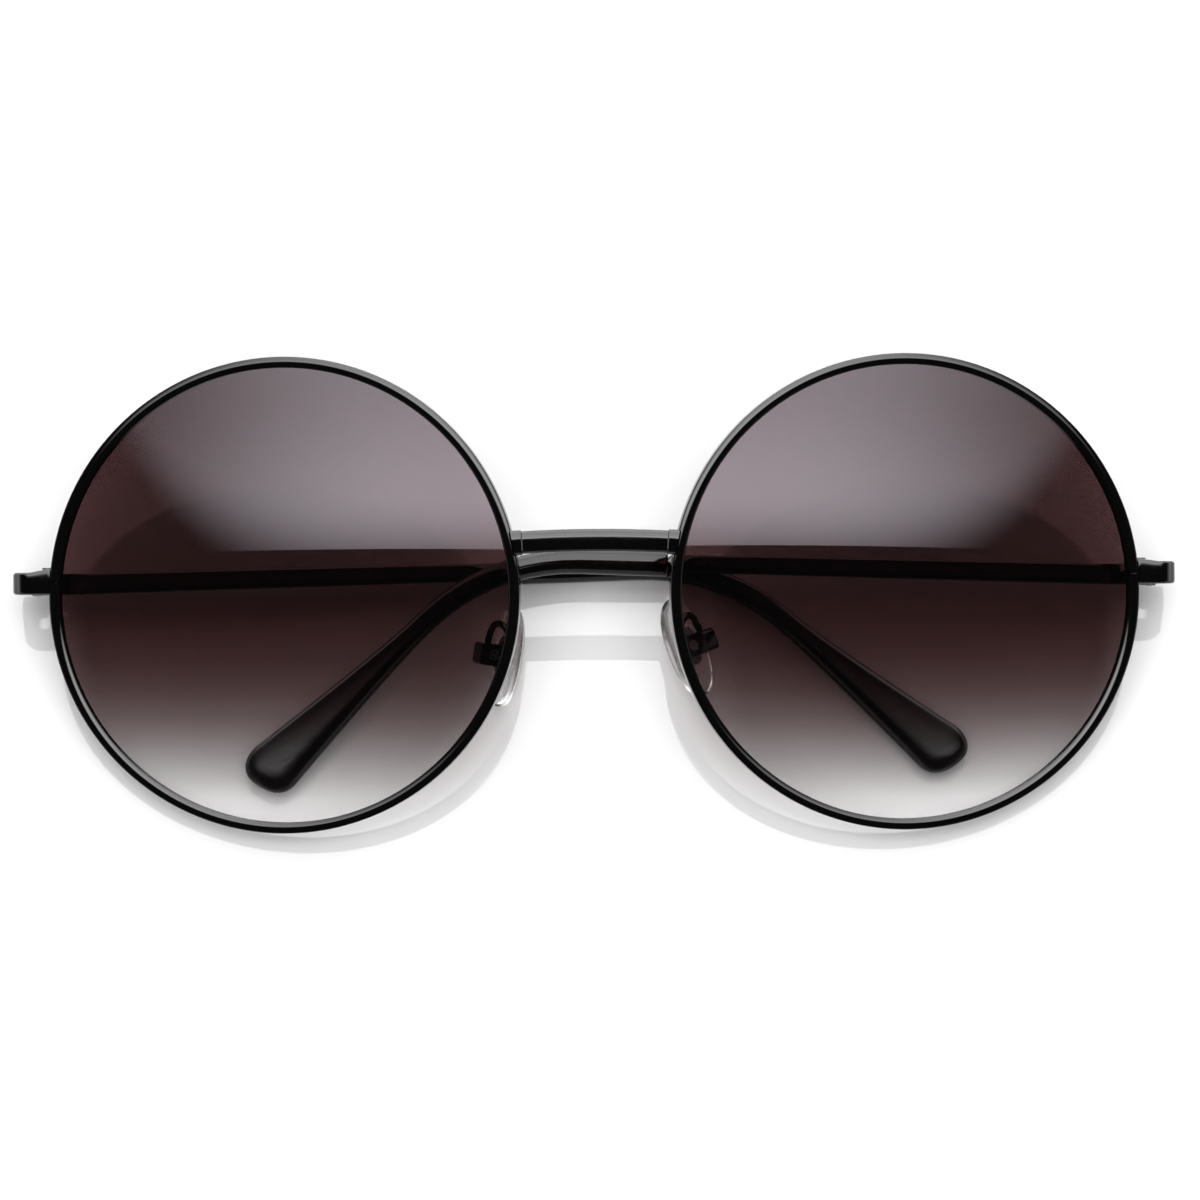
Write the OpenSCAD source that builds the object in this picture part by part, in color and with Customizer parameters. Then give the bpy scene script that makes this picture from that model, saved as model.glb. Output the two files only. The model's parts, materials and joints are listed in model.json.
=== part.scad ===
// Oversized round sunglasses, folded and lying lens side up on a table.
// The origin is on the table, under the middle of the two rims.
// +X points to the right of someone who looks at the front, +Y to the brow, +Z up.
// Left and right are the viewer's. Each side is drawn for +X and mirrored for -X.
// The front's own frame has +Y along the lens plane to the brow and +Z out of the front.
// A temple's own frame has x along the bar, y up and z towards its outer side.

/* [Rims and lenses] */
// Outer diameter of each round rim
rim_od = 60; // [56:0.5:62]
// Width of the rim wire, seen from the front
rim_wire_w = 1.25; // [1.1:0.05:1.5]
// Depth of the rim wire, front to back
rim_wire_d = 2; // [1.8:0.1:2.2]
// Gap between the two rims at its narrowest
rim_gap = 18.75; // [18:0.05:20]
// Turn of each rim about the upright axis, so that the front wraps the face
wrap_angle = 7.5; // [6:0.25:9]
// Thickness of each lens
lens_t = 1.8; // [1.4:0.1:2]
// Radius of the front surface of each lens
lens_curve_r = 132; // [110:1:180]
// Depth of the groove that holds the lens
groove_d = 0.5; // [0.3:0.05:0.6]
// Running room between a lens and its groove
lens_clear = 0.04; // [0.02:0.01:0.08]

/* [Bridge and endpieces] */
// Diameter of the bridge bar
bridge_d = 2.8; // [2.4:0.1:3.2]
// Height of the bridge bar above the rim centres
bridge_y = 6.2; // [5:0.1:8]
// Rise of the bridge bar at its middle
bridge_arch = 0.3; // [0.2:0.1:1]
// Reach of an endpiece beyond the side of its rim
endpiece_reach = 4.8; // [4.6:0.1:5.6]
// Height of an endpiece where it leaves the rim
endpiece_h = 3.1; // [2.8:0.1:3.4]
// Height that the endpiece loses towards its corner
endpiece_droop = 0.5; // [0.2:0.1:0.7]
// Thickness of the endpiece strip
endpiece_t = 1.4; // [1.2:0.1:1.6]
// Height of the left endpiece's middle above the rim centres
endpiece_y_left = 1.75; // [1:0.05:3]
// Height of the right endpiece's middle above the rim centres
endpiece_y_right = 2.2; // [1:0.05:3]
// Outside radius of the endpiece's corner
corner_r = 2.2; // [1.8:0.1:2.6]

/* [Hinges] */
// Distance of the hinge pin behind the rim's middle plane
hinge_back = 10.6; // [10:0.1:11.2]
// Height of the three hinge knuckles together
hinge_h = 2.6; // [2.4:0.1:3]
// Radius of a hinge knuckle
knuckle_r = 1.1; // [1:0.05:1.2]
// Height of the temple's knuckle, the middle one
knuckle_mid_h = 1; // [0.8:0.1:1.1]
// Radius of the hinge screw
hinge_screw_r = 0.6; // [0.5:0.05:0.7]
// Thickness of a hinge plate
hinge_plate_t = 0.7; // [0.5:0.05:0.8]
// Length of the hinge plate on the temple bar
hinge_plate_l = 5; // [4:0.5:5.5]
// Backward lean of the hinge pins against the front
panto_angle = 8; // [6:0.5:10]

/* [Temples] */
// Height of the temple bar at the hinge
bar_h = 2.6; // [2.4:0.1:2.8]
// Thickness of the temple bar
bar_t = 1.2; // [1:0.1:1.4]
// Height of the temple bar where it enters the tip
bar_end_h = 2.2; // [2:0.1:2.4]
// Diameter of the core wire inside the tip
core_d = 1.4; // [1.2:0.1:1.5]
// Upward slope of the bar from the hinge
bar_rise_angle = 1.5; // [0.5:0.25:2]
// Distance from the middle of the front at which the tip's mouth ends the bar
mouth_x = 9.4; // [8:0.2:11]
// Distance of the left ear bend's corner past the middle of the front
bend_x_left = 15.9; // [13:0.1:17]
// Distance of the right ear bend's corner past the middle of the front
bend_x_right = 13.2; // [12:0.1:16]
// Radius of the ear bend
bend_r = 27; // [24:1:32]
// Length of the left tip beyond the corner of the ear bend
drop_l_left = 40; // [38:0.2:43]
// Length of the right tip beyond the corner of the ear bend
drop_l_right = 41.7; // [38:0.2:43]
// Drop angle of the left tip
drop_angle_left = 42.9; // [40:0.1:46]
// Drop angle of the right tip
drop_angle_right = 45.7; // [42:0.1:47]
// Inward set of the left tip's end
inset_left = 7.5; // [7:0.1:8]
// Inward set of the right tip's end
inset_right = 2.2; // [1:0.1:2.5]
// Height of the tip's sleeve at its mouth
sleeve_h = 3.4; // [3.1:0.1:3.5]
// Thickness of the tip's sleeve at its mouth
sleeve_t = 2.9; // [2.6:0.1:3]
// Height of the tip's neck, where the ear bend ends
neck_h = 2.85; // [2.6:0.05:3.2]
// Greatest width of the tip's paddle
paddle_w = 7; // [6:0.1:7.5]
// Thickness of the paddle
paddle_t = 3.3; // [3:0.1:3.5]

/* [Nose pads] */
// Length of a nose pad
pad_l = 13; // [11:0.5:14]
// Width of a nose pad
pad_w = 7.2; // [6:0.1:8]
// Thickness of a nose pad
pad_t = 1.9; // [1.5:0.1:2.2]
// Distance of the left pad's seat from the middle of the front
pad_x_left = 11.5; // [10.8:0.1:12.5]
// Distance of the right pad's seat from the middle of the front
pad_x_right = 11.9; // [10.8:0.1:12.5]
// Drop of the left pad's middle below the rim centres
pad_drop_left = 8; // [6.5:0.1:8.5]
// Drop of the right pad's middle below the rim centres
pad_drop_right = 6.9; // [6.5:0.1:8.5]
// Distance of a pad's middle behind the rim's middle plane
pad_back = 7.2; // [7:0.1:7.6]
// Turn of the left pad that opens its rear edge outwards
splay_angle_left = 24; // [15:1:45]
// Turn of the right pad that opens its rear edge outwards
splay_angle_right = 38; // [15:1:45]
// Lean of the left pad that brings its upper end inwards
flare_angle_left = 9; // [5:1:22]
// Lean of the right pad that brings its upper end inwards
flare_angle_right = 19; // [5:1:22]
// Diameter of the pad arm's wire
arm_d = 0.9; // [0.8:0.05:1]
// Rise of the hook that the pad arm makes
arm_hook = 5.5; // [4.5:0.25:6.5]

/* [Hidden] */

// Faces on a full turn of an exact round shape
$fn = 64;
// Faces on the long arcs of rims, lenses and bridge
ring_fn = 240;
// Overrun of every cut
over = 1;
// Room between two pieces of one body that only lie against each other
seat_clear = 0.02;
// Radial room of a turning fit
pin_clear = 0.03;
// Room between two faces that slide past each other
face_clear = 0.06;
quarter_turn = 90;

// Sizes worked out for the rims and lenses
rim_r = rim_od / 2;
rim_in_r = rim_r - rim_wire_w;
rim_x = rim_gap / 2 + rim_r * cos(wrap_angle);
wire_soft = rim_wire_w * 0.28;
groove_h = rim_wire_d * 0.6;
lens_edge_r = rim_in_r + groove_d - lens_clear;
lens_shoulder_r = rim_in_r - lens_clear;
bevel_h = groove_h - 2 * lens_clear;
lens_sag = lens_curve_r - sqrt(pow(lens_curve_r, 2) - pow(rim_in_r, 2));

// Sizes worked out for the rim's cut, its locking blocks and their screw
lock_gap = 0.24;
lock_inset = 0.06;
lock_w = 2.3;
lock_d = 2.4;
lock_h = (endpiece_h - lock_gap) / 2 - lock_inset;
lock_screw_r = 0.4;
lock_head_r = 0.65;
lock_head_h = 0.35;
lock_soft = 0.5;
lock_wall = 0.1;
rim_side_x = rim_x + rim_r * cos(wrap_angle);
rim_side_z = -rim_r * sin(wrap_angle);
lock_x = rim_side_x - rim_wire_w * 0.5;
lock_front_z = rim_side_z - rim_wire_d * 0.22;
lock_axis_x = rim_side_x + lock_screw_r + lock_wall;

// Sizes worked out for the bridge
bridge_z = rim_r * sin(wrap_angle) + rim_wire_d * 0.28;
bridge_half = rim_x - sqrt(pow(rim_r, 2) - pow(bridge_y, 2)) * cos(wrap_angle);
bridge_r = (pow(bridge_half, 2) + pow(bridge_arch, 2)) / (2 * bridge_arch);
solder_t = 0.16;
solder_l = 0.9;

// Sizes worked out for the endpieces
end_x = rim_side_x + endpiece_reach;
end_front_z = lock_front_z + endpiece_t;
function end_y(side) = side < 0 ? endpiece_y_left : endpiece_y_right;

// Sizes worked out for the hinges
hinge_x = end_x - endpiece_t - knuckle_r;
hinge_sink = 0.15;
hinge_edge = 0.1;
function hinge_y(side) = end_y(side) - hinge_sink;
knuckle_side_h = (hinge_h - knuckle_mid_h) / 2 - face_clear;
butt_clear = 0.12;
plate_gap = 0.08;
plate_start = knuckle_r + plate_gap;
front_plate_l = hinge_back + lock_front_z - (corner_r - endpiece_t) - plate_start - 2 * hinge_edge;
hinge_head_r = knuckle_r * 0.75;
hinge_head_h = 0.35;
screw_slot_w = 0.22;
screw_slot_d = 0.16;
screw_end = 0.25;

// How the temples lie when folded. A positive angle lies deeper than the front
fold_angle_left = 1.15;
fold_angle_right = -1.8;

// Sizes worked out for the temples
tip_start = hinge_x - mouth_x;
bar_off = knuckle_r + bar_t / 2;
core_r = core_d / 2;
bar_soft = bar_t * 0.3;
shoulder_l = 0.5;
core_end_gap = 7;
look = 0.1;
step_bend = 2.6;
step_tip = 2.6;
end_ring_count = 8;
mouth_soft = 0.35;
end_round_l = 3.4;
tip_points = 28;
// Fullness of the tip's section, where an ellipse has 2
sleeve_full_share = 2.25;
// How the paddle widens from the ear bend to its end, where a straight flare has 1
flare_share = 1.22;
flare_wait = 2.8;
// How far the paddle's blunt end leans to the upper edge, of half its width
end_lift_share = 0.3;

// Sizes worked out for the nose pads
pad_points = 15;
pad_ring_count = 14;
pad_reach_share = 0.995;
pad_half = pad_l / 2;
core_plate_t = 0.5;
core_plate_l = 5;
core_plate_w = 2.6;
eyelet_r = 1;
eyelet_t = 0.8;
eyelet_x = -2;
pad_screw_r = 0.4;
pad_head_r = 0.7;
pad_head_h = 0.3;
box_w = 2.4;
box_h = 2.8;
box_front = -1;
box_soft = 0.5;
arm_r = arm_d / 2;
arm_points = 10;
arm_ring_count = 20;
arm_look = 0.01;
arm_angle = 12;
arm_back_l = 4;

// Least and greatest raise of the brow that are tried, and the number of halvings
lie_low_angle = 5;
lie_high_angle = 40;
lie_try_count = 16;
sleeve_foot_count = 20;

// Colours
BLACK = [0.06, 0.06, 0.065];
TIP = [0.09, 0.05, 0.05];
TINT = [0.24, 0.2, 0.22, 0.8];
STEEL = [0.55, 0.55, 0.57];
CLEAR = [0.86, 0.88, 0.86, 0.5];

// Small vector tools
function unit(p) = p / norm(p);
function turn_x(p, a) = [p.x, p.y * cos(a) - p.z * sin(a), p.y * sin(a) + p.z * cos(a)];
function turn_y(p, a) = [p.x * cos(a) + p.z * sin(a), p.y, p.z * cos(a) - p.x * sin(a)];
function turn_z(p, a) = [p.x * cos(a) - p.y * sin(a), p.x * sin(a) + p.y * cos(a), p.z];
function limit(x, low, high) = min(max(x, low), high);
function mix(a, b, t) = a + (b - a) * t;
// Rises from 0 to 1 as x goes from a to b, with soft ends
function ease(x, a, b) = let (t = limit((x - a) / (b - a), 0, 1)) t * t * (3 - 2 * t);

// The temple's centre line, at distance s along it
function drop_of(side) = side < 0 ? drop_angle_left : drop_angle_right;
function drop_l_of(side) = side < 0 ? drop_l_left : drop_l_right;
function inset_of(side) = side < 0 ? inset_left : inset_right;
function fold_of(side) = side < 0 ? fold_angle_left : fold_angle_right;
function corner_l(side) = bend_r * tan(drop_of(side) / 2);
function bend_from(side) = hinge_x + (side < 0 ? bend_x_left : bend_x_right) - corner_l(side);
function bend_to(side) = bend_from(side) + bend_r * drop_of(side) * PI / 180;
function tip_end(side) = bend_to(side) + drop_l_of(side) - corner_l(side);
function turned(s, side) = limit((s - bend_from(side)) / bend_r * 180 / PI, 0, drop_of(side));
function temple_point(s, side) =
    let (
        drop = drop_of(side),
        a = turned(s, side),
        past = max(0, s - bend_to(side)),
        along = min(s, bend_from(side)) + bend_r * sin(a) + past * cos(drop),
        down = bend_r * (1 - cos(a)) + past * sin(drop),
        t = max(0, s - bend_from(side)) / (tip_end(side) - bend_from(side)),
        flat = turn_z([along, -down, 0], bar_rise_angle)
    )
    [flat.x, flat.y, bar_off - inset_of(side) * pow(t, 1.35)];
function temple_way(s, side) =
    unit(temple_point(s + look, side) - temple_point(s - look, side));
function temple_up(s, side) = unit(cross([0, 0, 1], temple_way(s, side)));
function temple_out(s, side) = cross(temple_way(s, side), temple_up(s, side));

// A rounded rectangle's corner points, counted from its upper right corner
function soft_points(half_h, half_t, soft, n = 4) = [
    for (c = [0:3], k = [0:n - 1])
        let (
            a = quarter_turn * (c + k / (n - 1)),
            sx = (c == 0 || c == 3) ? 1 : -1,
            sy = c < 2 ? 1 : -1
        )
        [sx * (half_h - soft) + soft * cos(a), sy * (half_t - soft) + soft * sin(a)]
];
// An oval whose sides are fuller than an ellipse's
function oval_points(half_h, half_t, full, n) = [
    for (k = [0:n - 1])
        let (a = 360 * k / n, c = cos(a), d = sin(a))
        [sign(c) * half_h * pow(abs(c), 2 / full), sign(d) * half_t * pow(abs(d), 2 / full)]
];
// Lays a flat section across the temple's line
function temple_ring(points, s, side) =
    let (p = temple_point(s, side), up = temple_up(s, side), out = temple_out(s, side))
    [for (q = points) p + up * q.x + out * q.y];

// Skins a list of rings that all have the same number of points
module skin(rings) {
    n = len(rings[0]);
    m = len(rings);
    polyhedron(
        points = [for (r = rings) each r],
        faces = concat(
            [[for (k = [0:n - 1]) k]],
            [for (j = [0:m - 2], k = [0:n - 1])
                [j * n + k, (j + 1) * n + k, (j + 1) * n + (k + 1) % n]],
            [for (j = [0:m - 2], k = [0:n - 1])
                [j * n + k, (j + 1) * n + (k + 1) % n, j * n + (k + 1) % n]],
            [[for (k = [0:n - 1]) m * n - 1 - k]]
        )
    );
}

// The sleeve's section along the tip
function paddle_share(s, side) =
    let (from = bend_to(side) + flare_wait, to = tip_end(side) - end_round_l)
    pow(limit((s - from) / (to - from), 0, 1), flare_share);
function end_share(s, side) =
    let (x = s - (tip_end(side) - end_round_l))
    x <= 0 ? 1 : sqrt(max(0.01, 1 - pow(x / end_round_l, 2.4)));
function mouth_share(s) = 1 - mouth_soft / sleeve_h * pow(limit(1 - (s - tip_start) / mouth_soft, 0, 1), 2);
// Half height, half thickness and the shift to the upper edge
function sleeve_section(s, side) =
    let (
        p = paddle_share(s, side),
        waist = ease(s, tip_start, bend_to(side)),
        h = mix(mix(sleeve_h, neck_h, waist), paddle_w, p),
        t = mix(sleeve_t, paddle_t, p),
        e = end_share(s, side)
    )
    [
        h / 2 * e * mouth_share(s),
        t / 2 * mix(e, 1, 0.25) * min(1, e * 2) * mouth_share(s),
        h / 2 * (1 - e) * end_lift_share
    ];
function sleeve_stations(side) =
    let (
        b = bend_from(side),
        c = bend_to(side),
        e = tip_end(side),
        n_bend = ceil((c - b) / step_bend),
        n_tip = ceil((e - end_round_l - c) / step_tip)
    )
    concat(
        [tip_start, tip_start + mouth_soft / 2, tip_start + mouth_soft],
        [for (k = [1:2]) mix(tip_start + mouth_soft, b, k / 3)],
        [for (k = [0:n_bend]) mix(b, c, k / n_bend)],
        [for (k = [1:n_tip]) mix(c, e - end_round_l, k / n_tip)],
        [for (k = [1:end_ring_count]) e - end_round_l + end_round_l * sin(quarter_turn * k / end_ring_count)]
    );
function sleeve_ring(s, side) =
    let (h = sleeve_section(s, side))
    temple_ring([for (p = oval_points(h.x, h.y, sleeve_full_share, tip_points)) p + [h.z, 0]], s, side);
function sleeve_rings(side) = [for (s = sleeve_stations(side)) sleeve_ring(s, side)];

// The core wire's stations in the tip, up to its end
function core_stations(side, tail) =
    let (
        b = bend_from(side),
        c = bend_to(side),
        e = tip_end(side) - core_end_gap + tail,
        n = ceil((c - b) / step_bend)
    )
    concat([for (k = [0:n]) mix(b, c, k / n)], [mix(c, e, 0.35), mix(c, e, 0.7), e]);

// Brings a point of a temple into the front's frame, as it lies when folded
function folded(p, side) =
    turn_x(turn_y([-p.x, p.y, -p.z], -fold_of(side)), -panto_angle) + [hinge_x, hinge_y(side), -hinge_back];

// A nose pad's outline: half its width and its thickness at height y
function pad_share(y) = pow(max(0, 1 - pow(abs(y) / pad_half, 2.3)), 1 / 2.3);
function pad_ring(y) =
    let (f = pad_share(y), g = pow(f, 0.8))
    [for (k = [0:pad_points - 1])
        let (a = 180 * k / (pad_points - 1))
        [pad_t * g * pow(sin(a), 0.75), y, -pad_w / 2 * f * cos(a)]];
function pad_stations() = [
    for (k = [0:pad_ring_count]) -pad_half * pad_reach_share * cos(180 * k / pad_ring_count)
];
// Where and how each side's pad sits
function splay_of(side) = side < 0 ? splay_angle_left : splay_angle_right;
function flare_of(side) = side < 0 ? flare_angle_left : flare_angle_right;
function pad_place(side) =
    side < 0 ? [pad_x_left, -pad_drop_left, -pad_back] : [pad_x_right, -pad_drop_right, -pad_back];
// Brings a point of a pad into the front's frame
function pad_placed(p, side) =
    turn_z(turn_y([-p.x, p.y, p.z], -splay_of(side)), flare_of(side)) + pad_place(side);

// How far below the front's frame each piece reaches when the brow is raised by an angle
function reach(points, a) = -min([for (p = points) turn_x(p, a).z]);
PAD_FEET = [
    for (side = [-1, 1], y = pad_stations())
        each [for (p = pad_ring(y)) pad_placed(p, side)]
];
SLEEVE_FEET = [
    for (k = [0:sleeve_foot_count])
        each [for (p = sleeve_ring(mix(tip_start, bend_to(-1), k / sleeve_foot_count), -1)) folded(p, -1)]
];
TIP_FEET = [for (side = [-1, 1]) each [for (r = sleeve_rings(side)) each [for (p = r) folded(p, side)]]];
// The brow rises until the pads and the left sleeve both reach the table
function lie(low, high, n) =
    let (a = (low + high) / 2)
    n == 0 ? a : reach(PAD_FEET, a) > reach(SLEEVE_FEET, a) ? lie(low, a, n - 1) : lie(a, high, n - 1);
rest_tilt = lie(lie_low_angle, lie_high_angle, lie_try_count);
rest_h = reach(concat(PAD_FEET, TIP_FEET), rest_tilt);

// Frames
module at_rest() {
    translate([0, 0, rest_h])
        rotate([rest_tilt, 0, 0])
            children();
}
module on_side(side) {
    at_rest()
        mirror([side < 0 ? 1 : 0, 0, 0])
            children();
}
module rim_frame() {
    translate([rim_x, 0, 0])
        rotate([0, wrap_angle, 0])
            children();
}
module hinge_frame(side) {
    translate([hinge_x, hinge_y(side), -hinge_back])
        rotate([-panto_angle, 0, 0])
            children();
}
module temple_frame(side) {
    hinge_frame(side)
        rotate([0, -fold_of(side), 0])
            rotate([0, 180, 0])
                children();
}
module pad_frame(side) {
    translate(pad_place(side))
        rotate([0, 0, flare_of(side)])
            rotate([0, -splay_of(side), 0])
                mirror([1, 0, 0])
                    children();
}

// A flat rectangle with round corners
module soft_rect(w, h, soft) {
    square([w - 2 * soft, h], center = true);
    square([w, h - 2 * soft], center = true);
    for (sx = [-1, 1], sy = [-1, 1])
        translate([sx * (w / 2 - soft), sy * (h / 2 - soft)])
            circle(r = soft);
}
// A block with round edges along Z
module soft_block(w, h, d, soft) {
    linear_extrude(height = d)
        soft_rect(w, h, soft);
}
// A screw along Z with its head's top at the given height
module slotted_screw(r, low, top, head_r, head_h) {
    difference() {
        union() {
            translate([0, 0, low])
                cylinder(r = r, h = top - head_h - low);
            translate([0, 0, top - head_h])
                cylinder(r = head_r, h = head_h);
        }
        translate([-head_r - over, -screw_slot_w / 2, top - screw_slot_d])
            cube([2 * (head_r + over), screw_slot_w, screw_slot_d + over]);
    }
}

// Everything inside the rim's outer edge, for cutting what is brazed to it
module rim_envelope() {
    rim_frame()
        cylinder(r = rim_r, h = 8 * rim_wire_d, center = true, $fn = ring_fn);
}

module rim(side) {
    color(BLACK)
        on_side(side)
            difference() {
                rim_frame()
                    rotate_extrude($fn = ring_fn)
                        difference() {
                            translate([rim_r - rim_wire_w / 2, 0])
                                soft_rect(rim_wire_w, rim_wire_d, wire_soft, $fn = 24);
                            polygon([
                                [rim_in_r - over, groove_h / 2 * (over + groove_d) / groove_d],
                                [rim_in_r + groove_d, 0],
                                [rim_in_r - over, -groove_h / 2 * (over + groove_d) / groove_d]
                            ]);
                        }
                translate([lock_x - 2 * rim_wire_w, end_y(side) - lock_gap / 2, rim_side_z - over - rim_wire_d])
                    cube([2 * over + 4 * rim_wire_w, lock_gap, 2 * (over + rim_wire_d)]);
            }
}

module lens(side) {
    back_r = lens_curve_r - lens_t;
    centre_z = lens_t / 2 - sqrt(pow(lens_curve_r, 2) - pow(lens_shoulder_r, 2));
    color(TINT)
        on_side(side)
            rim_frame()
                rotate_extrude($fn = ring_fn)
                    intersection() {
                        difference() {
                            translate([0, centre_z])
                                circle(r = lens_curve_r, $fn = 4 * ring_fn);
                            translate([0, centre_z])
                                circle(r = back_r, $fn = 4 * ring_fn);
                        }
                        polygon([
                            [0, -2 * lens_t],
                            [lens_shoulder_r, -2 * lens_t],
                            [lens_shoulder_r, -bevel_h / 2],
                            [lens_edge_r, 0],
                            [lens_shoulder_r, bevel_h / 2],
                            [lens_shoulder_r, 2 * lens_t + lens_sag],
                            [0, 2 * lens_t + lens_sag]
                        ]);
                    }
}

module bridge_arc(r, half_angle) {
    rotate([0, 0, 90 - half_angle])
        rotate_extrude(angle = 2 * half_angle, $fn = ring_fn)
            translate([bridge_r, 0])
                circle(r = r, $fn = 48);
}
module bridge_bar() {
    span = asin((bridge_half + bridge_d / 2) / bridge_r);
    plain = asin((bridge_half - solder_l) / bridge_r);
    color(BLACK)
        at_rest()
            difference() {
                translate([0, bridge_y + bridge_arch - bridge_r, bridge_z]) {
                    bridge_arc(bridge_d / 2, span);
                    for (side = [-1, 1])
                        rotate([0, 0, side * (plain + span) / 2])
                            bridge_arc(bridge_d / 2 + solder_t, (span - plain) / 2);
                }
                rim_envelope();
                mirror([1, 0, 0])
                    rim_envelope();
            }
}

// The endpiece's strip seen from above, bent round its corner, with y along the front's Z
module strip_plan() {
    difference() {
        strip_side(end_x, end_front_z, corner_r);
        strip_side(end_x - endpiece_t, end_front_z - endpiece_t, corner_r - endpiece_t);
    }
}
module strip_side(x, z, soft) {
    low = -hinge_back - 2 * over;
    left = lock_x - over;
    translate([left, low])
        square([x - soft - left, z - low]);
    translate([left, low])
        square([x - left, z - soft - low]);
    translate([x - soft, z - soft])
        circle(r = soft);
}
module endpiece(side) {
    low = end_y(side) - endpiece_h / 2;
    color(BLACK)
        on_side(side)
            difference() {
                intersection() {
                    translate([0, low, 0])
                        rotate([-90, 0, 0])
                            linear_extrude(height = endpiece_h)
                                mirror([0, 1])
                                    strip_plan();
                    translate([0, 0, -hinge_back - 3 * over])
                        linear_extrude(height = 2 * hinge_back)
                            polygon([
                                [lock_x - 2 * over, low],
                                [end_x + over, low],
                                [end_x + over, low + endpiece_h - endpiece_droop],
                                [end_x - corner_r, low + endpiece_h - endpiece_droop],
                                [rim_side_x, low + endpiece_h],
                                [lock_x - 2 * over, low + endpiece_h]
                            ]);
                }
                rim_envelope();
                hinge_frame(side)
                    translate([-4 * knuckle_r, -endpiece_h, butt_clear - 4 * over - 2 * endpiece_t])
                        cube([8 * knuckle_r, 2 * endpiece_h, 4 * over + 2 * endpiece_t]);
            }
}

// One locking block behind the endpiece, above or below the rim's cut
module lock_block(side, up) {
    start = up > 0 ? lock_gap / 2 : -lock_gap / 2 - lock_h;
    color(BLACK)
        on_side(side)
            difference() {
                translate([lock_x, end_y(side) + start, lock_front_z])
                    rotate([-90, 0, 0])
                        translate([lock_w / 2, lock_d / 2, 0])
                            soft_block(lock_w, lock_d, lock_h, lock_soft);
                rim_frame()
                    cylinder(r = rim_r + seat_clear, h = rim_wire_d + 2 * seat_clear, center = true, $fn = ring_fn);
                lock_axis(side)
                    cylinder(r = lock_screw_r + seat_clear, h = 4 * lock_h + 2 * over, center = true);
            }
}
module lock_axis(side) {
    translate([lock_axis_x, end_y(side), lock_front_z - lock_d / 2])
        rotate([-90, 0, 0])
            children();
}
module rim_lock_screw(side) {
    color(STEEL)
        on_side(side)
            lock_axis(side)
                slotted_screw(lock_screw_r, -lock_h - lock_gap / 2 + lock_soft,
                    lock_h + lock_gap / 2 + lock_head_h + seat_clear, lock_head_r, lock_head_h);
}

// The front's half of the hinge: two knuckles on a plate inside the endpiece
module hinge_front(side) {
    low = end_y(side) - endpiece_h / 2 + hinge_edge;
    color(BLACK)
        on_side(side) {
            difference() {
                union() {
                    intersection() {
                        hinge_frame(side)
                            translate([knuckle_r - hinge_plate_t, -endpiece_h, plate_start])
                                cube([hinge_plate_t - seat_clear, 2 * endpiece_h, front_plate_l]);
                        translate([0, low, -2 * hinge_back])
                            cube([end_x, endpiece_h - endpiece_droop - 2 * hinge_edge, 2 * hinge_back]);
                    }
                    hinge_frame(side)
                        for (up = [-1, 1])
                            translate([0, up * (hinge_h - knuckle_side_h) / 2, 0]) {
                                rotate([90, 0, 0])
                                    cylinder(r = knuckle_r - seat_clear, h = knuckle_side_h, center = true);
                                translate([knuckle_r - hinge_plate_t, -knuckle_side_h / 2, 0])
                                    cube([hinge_plate_t - seat_clear, knuckle_side_h, plate_start + seat_clear]);
                            }
                }
                hinge_frame(side)
                    rotate([-90, 0, 0]) {
                        cylinder(r = hinge_screw_r + seat_clear, h = hinge_h + 2 * over, center = true);
                        translate([0, 0, hinge_h / 2 - hinge_head_h - seat_clear])
                            cylinder(r = hinge_head_r + seat_clear, h = hinge_head_h + seat_clear + over);
                    }
            }
        }
}
// The temple's half of the hinge: one knuckle on a plate inside the bar
module hinge_temple(side) {
    color(BLACK)
        on_side(side)
            temple_frame(side)
                difference() {
                    union() {
                        translate([plate_start, -hinge_h / 2, knuckle_r - hinge_plate_t])
                            cube([hinge_plate_l, hinge_h, hinge_plate_t - seat_clear]);
                        rotate([90, 0, 0])
                            cylinder(r = knuckle_r - seat_clear, h = knuckle_mid_h, center = true);
                        translate([0, -knuckle_mid_h / 2, knuckle_r - hinge_plate_t])
                            cube([plate_start + seat_clear, knuckle_mid_h, hinge_plate_t - seat_clear]);
                    }
                    rotate([90, 0, 0])
                        cylinder(r = hinge_screw_r + pin_clear, h = hinge_h + 2 * over, center = true);
                }
}
module hinge_screw(side) {
    color(STEEL)
        on_side(side)
            hinge_frame(side)
                rotate([-90, 0, 0])
                    slotted_screw(hinge_screw_r, -hinge_h / 2 - screw_end, hinge_h / 2, hinge_head_r, hinge_head_h);
}

// The metal temple: a flat bar that turns into the round core wire of the tip
module temple(side) {
    core = soft_points(core_r, core_r, core_r);
    color(BLACK)
        on_side(side)
            temple_frame(side)
                skin(concat(
                    [for (s = [butt_clear, plate_start + hinge_plate_l, tip_start / 2, tip_start - shoulder_l])
                        let (t = max(0, s - plate_start - hinge_plate_l) / tip_start)
                        temple_ring(soft_points(mix(bar_h, bar_end_h, t) / 2, bar_t / 2, bar_soft), s, side)],
                    [temple_ring(core, tip_start - seat_clear, side)],
                    [for (s = core_stations(side, 0)) temple_ring(core, s, side)]
                ));
}
// The moulded tip: a swept sleeve that ends in a paddle, bored for the core wire
module temple_tip(side) {
    bore = soft_points(core_r + seat_clear, core_r + seat_clear, core_r + seat_clear);
    color(TIP)
        on_side(side)
            temple_frame(side)
                difference() {
                    skin(sleeve_rings(side));
                    skin(concat(
                        [temple_ring(bore, tip_start - over, side)],
                        [for (s = core_stations(side, 2 * seat_clear)) temple_ring(bore, s, side)]
                    ));
                }
}

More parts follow.
